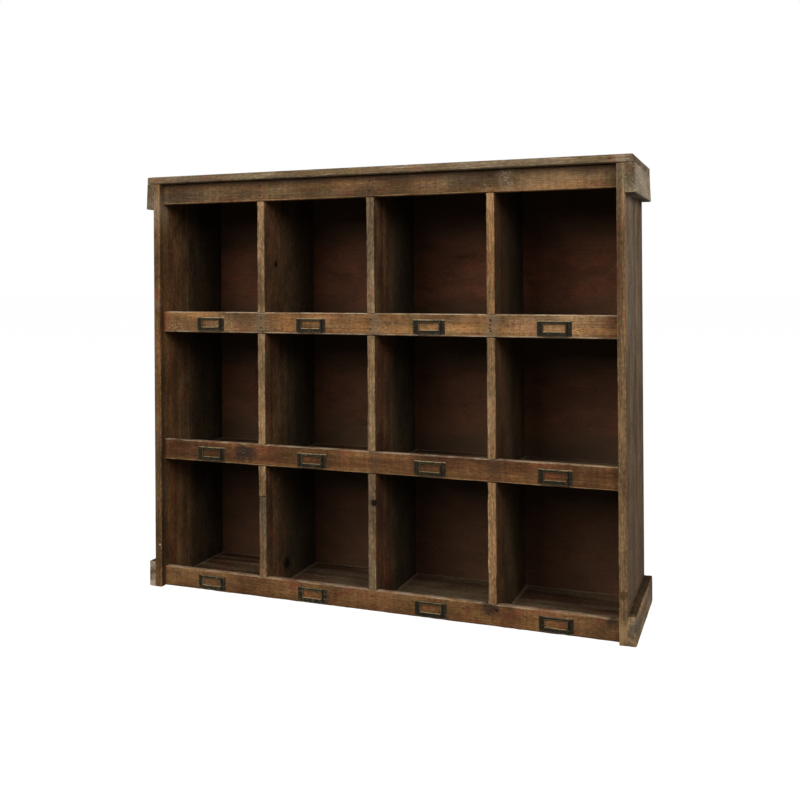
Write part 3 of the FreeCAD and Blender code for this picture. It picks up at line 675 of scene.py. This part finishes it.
class CUBBY_OT_rails(CubbyOperator):
    """Front rails, the upper two warm and the lower two reddish"""

    bl_idname = "cubby.rails"
    bl_label = "Rails"

    def execute(self, context):
        top = Wood("top_rail", "x", (0.1, 0.13, 0.06))
        top.base("tan", "bark", "umber", "driftwood")
        top.tint((400, RAIL_FRONT, 912), 140, "worn", 0.24)
        top.tint((-440, RAIL_FRONT, 916), 130, "umber", 0.25)
        top.grained(patchy=0.3, fibrous=0.8)
        # painted shadow of the top board's overhang along the top of the rail
        top.band("z", 917, 936, "umber", 0.72, ragged=16)
        top.saw_marks(0.1)
        top.worn(0.4)
        top.arris_line(893.6, 895.6, 0.4)
        top.stripe("x", 300, 26, "driftwood", 0.22, ragged=40)
        for x, z, size in ((255, 900, 24), (300, 926, 26), (308, 905, 24), (345, 903, 18)):
            top.scuff(x, z, size, "ash", 0.3)
        top.done()
        upper = Wood("upper_shelf_rail", "x", (1.3, 0.12, 0.03), reddish=0.6)
        upper.base("honey", "tan", "umber", "driftwood", grey_share=0.25)
        upper.stripe("x", -470, 90, "honey", 0.4, ragged=60)
        upper.tint((410, RAIL_FRONT, 618), 130, "worn", 0.35)
        upper.tint((133, RAIL_FRONT, 618), 110, "worn", 0.15)
        upper.grained(patchy=0.34, fibrous=0.8)
        upper.saw_marks(0.11)
        upper.worn(0.9, width=2.8)
        upper.arris_line(640.2, 642.2, 0.8, "ash")
        upper.arris_line(595.4, 597.6, 0.85, "ash")
        for x, width in ((-269, 16), (9, 19), (271, 21)):
            upper.stripe("x", x, width, "driftwood", 0.42, ragged=24)
        upper.stripe("x", -522, 16, "cherry", 0.6, ragged=14)
        dirty = ((-470, 606, 42), (-250, 601, 40), (110, 606, 55), (450, 610, 60), (-60, 604, 50))
        for x, z, size in dirty:
            upper.scuff(x, z, size, "umber", 0.6)
        rubbed = ((-490, 603, 40), (-370, 601, 55), (330, 603, 60), (30, 604, 40))
        for x, z, size in rubbed:
            upper.scuff(x, z, size, "worn", 0.7)
        nails = ((-263.7, 598.5, 1.5), (265.8, 630, 1.2), (265.8, 620, 1.2), (265.7, 613, 1.4))
        for x, z, size in nails:
            upper.mark("nail", x, RAIL_FRONT, z, size=size)
        upper.done(rough=0.6)
        lower = Wood("lower_shelf_rail", "x", (2.6, 0.14, -0.02), greenish=0.12, reddish=0.65)
        lower.base("tan", "russet", "umber", "chestnut", grey_share=0.3)
        lower.band("z", 308, 297, "tan", 0.5, ragged=10)
        lower.tint((-400, RAIL_FRONT, 320), 120, "umber", 0.25)
        lower.grained(patchy=0.3, fibrous=0.8)
        lower.saw_marks(0.12)
        lower.worn(0.8, width=2.6)
        lower.arris_line(297.4, 299.4, 0.65)
        lower.arris_line(342.2, 344.2, 0.5, "ash")
        # the rail's back and the rear of its top darkened: painted shade behind the lip, with dirt
        lower.band("y", -114, -109, "soot_and_shade", 0.8)
        for x in (9, 271):
            lower.stripe("x", x, 19, "soot_and_shade", 0.4, ragged=24)
        lower.mark("stain", -322, RAIL_FRONT, 321, size=27)
        lower.mark("stain", -298, RAIL_FRONT, 323, size=27)
        lower.mark("ringed knot", -313.8, RAIL_FRONT, 327, size=2.6)
        lower.done(rough=0.6)
        base = Wood("base_rail", "x", (3.9, 0.13, 0.05), greenish=0.2, reddish=0.7)
        base.base("tan", "tan", "umber", "bark", grey_share=0.3, streaked=0.25)
        base.grained(rings=0.1, patchy=0.3, fibrous=0.8)
        base.saw_marks(0.1)
        base.worn(0.8, width=2.6)
        base.arris_line(44.2, 46.2, 0.45, "ash")
        # the rail's back and the rear of its top darkened: painted shade behind the lip, with dirt
        base.band("y", -113, -108, "soot_and_shade", 0.8)
        base.mark("stain", 508, RAIL_FRONT, 38, size=18)
        base.mark("stain", 262, RAIL_FRONT, 38, size=26)
        base.mark("nail", 276.2, RAIL_FRONT, 34, size=2.6)
        base.done(rough=0.6)
        return {"FINISHED"}


class CUBBY_OT_dividers(CubbyOperator):
    """Dividers with worn front edges and dark faces"""

    bl_idname = "cubby.dividers"
    bl_label = "Dividers"

    def execute(self, context):
        edges = {
            "left_divider": ("worn", "worn", "umber", "driftwood"),
            "middle_divider": ("worn", "driftwood", "umber", "driftwood"),
            "right_divider": ("worn", "honey", "umber", "worn"),
            "left_divider_splice": ("honey", "driftwood", "umber", "driftwood"),
        }
        for number, (node, tones) in enumerate(edges.items()):
            number %= len(DIVIDERS)  # the splice goes on in the grain of the left divider
            divider = Wood(node, "z", (0.7 * number + 0.2, 0.08, 0.03 * number - 0.05))
            divider.base("bark", "chestnut", "umber", "chestnut")
            if node == "right_divider":
                divider.band("y", -122, -100, "umber", 0.5)
            # darker towards the back of the cubbies: dirt and painted shade
            divider.band("y", -80, 10, "soot_and_shade", 0.94, ragged=70)
            divider.front_edge(RAIL_FRONT, *tones)
            if node == "left_divider":
                divider.band("z", 600, 680, "bark", 0.35)
            if node == "right_divider":
                divider.band("z", 640, 560, "bark", 0.28)
                divider.front_tone(RAIL_FRONT, "ash", 0.06)
            if node == "middle_divider":
                divider.front_tone(RAIL_FRONT, "tan", 0.2)
            divider.grained()
            divider.worn(0.6, width=1.6)
            if node == "middle_divider":
                divider.mark("knot", 6.5, RAIL_FRONT, 234, size=9)
            if number == 0:
                divider.crack(228, -272, -258)
                for y, z, size in ((-69.6, 751, 9), (-24, 50, 16)):
                    divider.mark("knot", -257.5, y, z, size=size)
                divider.tint((-257.5, 5, 752), 24, "umber", 0.8)
            divider.done()
        return {"FINISHED"}


class CUBBY_OT_shelves(CubbyOperator):
    """Dusty floor and shelves"""

    bl_idname = "cubby.shelves"
    bl_label = "Shelves"

    def execute(self, context):
        for number, node in enumerate(("bottom_board", "lower_shelf", "upper_shelf")):
            shelf = Wood(node, "x", (0.9 * number, 0.11, 0.04))
            shelf.base("dust", "chestnut", "umber", "dust", grey_share=0.6, streaked=0.2)
            # darker towards the back: dust and painted shade deep in the cubbies
            shelf.band("y", -40, 120, "umber", 0.25, ragged=60)
            shelf.grained()
            shelf.stripe("y", 129, 6, "ash", 0.22, ragged=9)
            for x in (-521, -254, 13, 280):
                shelf.stripe("x", x, 7, "ash", 0.16, ragged=10)
            shelf.done(rough=0.76)
        return {"FINISHED"}


class CUBBY_OT_back_panel(CubbyOperator):
    """Back panel with an old dark red stain, and painted shadow under each shelf and over the lower rows
    """

    bl_idname = "cubby.back_panel"
    bl_label = "Back Panel"

    def execute(self, context):
        panel = Wood("back_panel", "x", (0.5, 0.2, 0.3), greenish=0.0)
        panel.base("oxblood", "oxblood", "umber", "oxblood", streaked=0.1)
        panel.grained(rings=0.06, patchy=0.14, fibrous=0.4)
        unshaded = panel.colour
        # painted shadow under each shelf, and painted shade deepening downwards over the lower rows, on
        # the inner face only
        for under_shelf in (892, 594, 296):
            panel.stripe("z", under_shelf - 15, 110, "soot_and_shade", 0.65, ragged=30)
        panel.band("z", 620, 560, "soot_and_shade", 0.25)
        panel.band("z", 320, 270, "soot_and_shade", 0.3)
        low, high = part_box("back_panel")
        inside = panel.spread(panel.axes["y"], high[1] - 0.001, low[1] + 0.001)
        panel.colour = panel.blend(inside, unshaded, panel.colour)
        panel.done(rough=0.7)
        return {"FINISHED"}


class AgedMetal(Finish):
    """Metal in a main tone, mottled by a share of the tone that it shows where it is rubbed."""

    def __init__(self, name, main, rubbed, share, roughness, metallic=0.0):
        super().__init__(name)
        mottle = self.noise(self.place, 260.0, 4.0, 0.6)
        fine = self.noise(self.place, 1400.0, 2.0, 0.5)
        self.rubbed = tuple(rubbed)
        self.colour = self.blend(self.spread(mottle, 0.5, 0.72, 0.0, share), tuple(main), self.rubbed)
        self.rough = self.spread(mottle, 0.3, 0.7, roughness - 0.1, roughness + 0.12)
        self.relief = self.bump(self.maths("ADD", mottle, self.times(fine, 0.4)), 0.00015)
        self.metallic = metallic

    def lay_second_tone(self, mask):
        """Show the second tone where the mask says: rust on the nails, and rubbed edges with painted
        highlight on the holders.
        """
        self.colour = self.blend(mask, self.colour, self.rubbed)

    def line(self, node, axis, place, reach, width):
        """A line at a place on one axis of a label holder, along a reach of the other, in millimetres.

        Those on X are from the holder's middle, both ways, and those on Z from its foot."""
        low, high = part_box(node)
        middle = (low[0] + high[0]) / 2
        across = self.maths("ABSOLUTE", self.maths("SUBTRACT", self.axes["x"], middle))
        upward = self.maths("SUBTRACT", self.axes["z"], low[2])
        along, beside = (across, upward) if axis == "z" else (upward, across)
        away = self.maths("ABSOLUTE", self.maths("SUBTRACT", beside, place / 1000))
        start, end = reach
        run = self.spread(along, (start - 0.4) / 1000, (start + 0.4) / 1000)
        run = self.times(run, self.spread(along, (end + 0.4) / 1000, (end - 0.4) / 1000))
        return self.times(run, self.spread(away, width / 1000, width / 3000))

    def done(self, *nodes):
        """Give the nodes this finish."""
        material = self.surface(self.colour, self.rough, self.relief, 0.08, self.metallic)
        for node in nodes:
            finish_node(node, material)


class CUBBY_OT_label_holders(CubbyOperator):
    """Aged bronze label holders and their pins"""

    bl_idname = "cubby.label_holders"
    bl_label = "Label Holders"

    def execute(self, context):
        metal = context.scene.cubby_metal
        for node in (*HOLDERS, "label_holder_pins"):
            mottled = MOTTLED.get(node, 0.12)
            bronze = AgedMetal(node, metal.bronze, metal.rubbed, mottled, roughness=0.6)
            if node in HOLDERS:
                foot, sides, upper = RUBBED_AND_HIGHLIT_LINES[node.split("_")[2]]
                # rubbed metal with painted highlight, brightest along the upward edges: the window's
                # foot and the holder's upper edge
                lines = 0.0
                # the window's foot, top and sides, then the holder's upper, lower and outer edges
                for axis, place, reach, width, share in (
                    ("z", 10, (-1, 22), 1.6, foot),
                    ("z", 25.5, (-1, 22), 1.2, sides),
                    ("x", 22, (10, 25.5), 1.2, sides),
                    ("z", 31.2, (-1, 36), 1.5, upper),
                    ("z", 0.8, (-1, 36), 1.2, 0.15),
                    ("x", 35.2, (0, 32), 0.9, 0.1),
                ):
                    line = bronze.line(node, axis, place, reach, width)
                    lines = bronze.maths("MAXIMUM", bronze.times(line, share), lines)
                broken = bronze.noise(bronze.place, 90.0, 3.0, 0.6)
                bronze.lay_second_tone(bronze.times(lines, bronze.spread(broken, 0.3, 0.6, 0.35, 1.0)))
            bronze.done(node)
        return {"FINISHED"}


class CUBBY_OT_fixings(CubbyOperator):
    """Rusty nails, and the hanger plates with their screws"""

    bl_idname = "cubby.fixings"
    bl_label = "Nails and Hangers"

    def execute(self, context):
        metal = context.scene.cubby_metal
        iron = AgedMetal("rusty_iron", metal.bronze, metal.rust, 0.6, roughness=0.7, metallic=0.3)
        # the nails below half a metre are rusty all over
        iron.lay_second_tone(iron.spread(iron.axes["z"], 0.5, 0.48))
        iron.done(*NAILS)
        zinc = AgedMetal("dull_zinc", metal.zinc, metal.bronze, 0.35, roughness=0.45, metallic=0.9)
        zinc.done("left_hanger_plate", "right_hanger_plate", "hanger_screws")
        return {"FINISHED"}


def place_camera():
    """The camera, level with the top row of cubbies and out to the right of the case."""
    camera = bpy.data.objects.new("camera", bpy.data.cameras.new("camera"))
    bpy.context.scene.collection.objects.link(camera)
    camera.data.sensor_width = 36
    camera.data.lens = CAMERA_LENS
    camera.data.shift_y = CAMERA_SHIFT
    camera.data.clip_start = 0.01
    turn = Matrix.Identity(4)
    for axis, degrees in CAMERA_TURNS:
        turn = turn @ Matrix.Rotation(math.radians(degrees), 4, axis)
    camera.matrix_world = Matrix.Translation(CAMERA_PLACE) @ turn
    bpy.context.scene.camera = camera


def place_lamp(name, azimuth, size, power):
    """A square softbox aimed near the middle of the case, off to one side by some degrees."""
    around, up = math.radians(azimuth), math.radians(LAMP_ELEVATION)
    direction = Vector((math.cos(up) * math.sin(around), -math.cos(up) * math.cos(around), math.sin(up)))
    data = bpy.data.lights.new(name, "AREA")
    data.size = size
    data.energy = power
    lamp = bpy.data.objects.new(name, data)
    bpy.context.scene.collection.objects.link(lamp)
    turn = (-direction).to_track_quat("-Z", "Y").to_matrix().to_4x4()
    lamp.matrix_world = Matrix.Translation(Vector(LAMP_TARGET) + direction * LAMP_DISTANCE) @ turn
    lamp.visible_camera = False


def shown_pale(nodes, output, plain, pale):
    """Show the pale shader to the camera and in reflections, and light the case by the plain one."""
    path = nodes.add("ShaderNodeLightPath").outputs
    seen = path["Is Camera Ray"]
    for ray in ("Is Glossy Ray", "Is Transmission Ray"):
        seen = nodes.maths("MAXIMUM", seen, path[ray])
    mix = nodes.add("ShaderNodeMixShader", {0: seen, 1: plain, 2: pale}).outputs[0]
    nodes.add(output, {"Surface": mix})


class CUBBY_OT_stage(CubbyOperator):
    """Studio floor, lamps, surroundings and camera"""

    bl_idname = "cubby.stage"
    bl_label = "Stage"

    def execute(self, context):
        settings = context.scene.cubby_stage
        bpy.ops.object.select_all(action="DESELECT")
        bpy.ops.mesh.primitive_plane_add(size=60, location=(0, 0, -FLOOR_GAP))
        floor = context.object
        floor.name = "studio_floor"
        material = bpy.data.materials.new("studio_floor")
        nodes = Nodes(material)
        matt = nodes.add("ShaderNodeBsdfDiffuse", {"Color": (*settings.floor_tone, 1)}).outputs[0]
        glow = nodes.add("ShaderNodeEmission", {"Strength": FLOOR_GLOW}).outputs[0]
        glowing = nodes.add("ShaderNodeAddShader", {0: matt, 1: glow}).outputs[0]
        shown_pale(nodes, "ShaderNodeOutputMaterial", matt, glowing)
        floor.data.materials.append(material)
        world = bpy.data.worlds.new("studio")
        nodes = Nodes(world)
        white = {"Color": (1, 1, 1, 1)}
        dim = nodes.add("ShaderNodeBackground", {**white, "Strength": settings.ambient}).outputs[0]
        full = nodes.add("ShaderNodeBackground", white).outputs[0]
        shown_pale(nodes, "ShaderNodeOutputWorld", dim, full)
        context.scene.world = world
        place_lamp("left_lamp", azimuth=-20, size=2.2, power=settings.left_power)
        place_lamp("right_lamp", azimuth=52, size=2.0, power=settings.right_power)
        place_camera()
        context.scene.view_settings.view_transform = "Standard"
        return {"FINISHED"}


STEPS = (
    CUBBY_OT_worn_boards,
    CUBBY_OT_side_panels,
    CUBBY_OT_top_and_cleats,
    CUBBY_OT_rails,
    CUBBY_OT_dividers,
    CUBBY_OT_shelves,
    CUBBY_OT_back_panel,
    CUBBY_OT_label_holders,
    CUBBY_OT_fixings,
    CUBBY_OT_stage,
)

SETTINGS = {
    "cubby_wood": CUBBY_PG_wood,
    "cubby_metal": CUBBY_PG_metal,
    "cubby_stage": CUBBY_PG_stage,
}


class CUBBY_PT_sidebar(bpy.types.Panel):
    """Steps and settings of the shelf"""

    bl_idname = "CUBBY_PT_sidebar"
    bl_label = "Cubby Shelf"
    bl_space_type = "VIEW_3D"
    bl_region_type = "UI"
    bl_category = "Cubby Shelf"

    def draw(self, context):
        for step in STEPS:
            self.layout.operator(step.bl_idname)
        for owner, group in SETTINGS.items():
            for name in group.__annotations__:
                self.layout.prop(getattr(context.scene, owner), name)


CLASSES = (*SETTINGS.values(), *STEPS, CUBBY_PT_sidebar)


def register():
    for cls in CLASSES:
        bpy.utils.register_class(cls)
    for name, group in SETTINGS.items():
        setattr(bpy.types.Scene, name, PointerProperty(type=group))


def unregister():
    for name in SETTINGS:
        delattr(bpy.types.Scene, name)
    for cls in reversed(CLASSES):
        bpy.utils.unregister_class(cls)


def main():
    register()
    bpy.ops.cubby.worn_boards()
    bpy.ops.cubby.side_panels()
    bpy.ops.cubby.top_and_cleats()
    bpy.ops.cubby.rails()
    bpy.ops.cubby.dividers()
    bpy.ops.cubby.shelves()
    bpy.ops.cubby.back_panel()
    bpy.ops.cubby.label_holders()
    bpy.ops.cubby.fixings()
    bpy.ops.cubby.stage()
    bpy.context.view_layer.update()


if __name__ == "__main__":
    main()
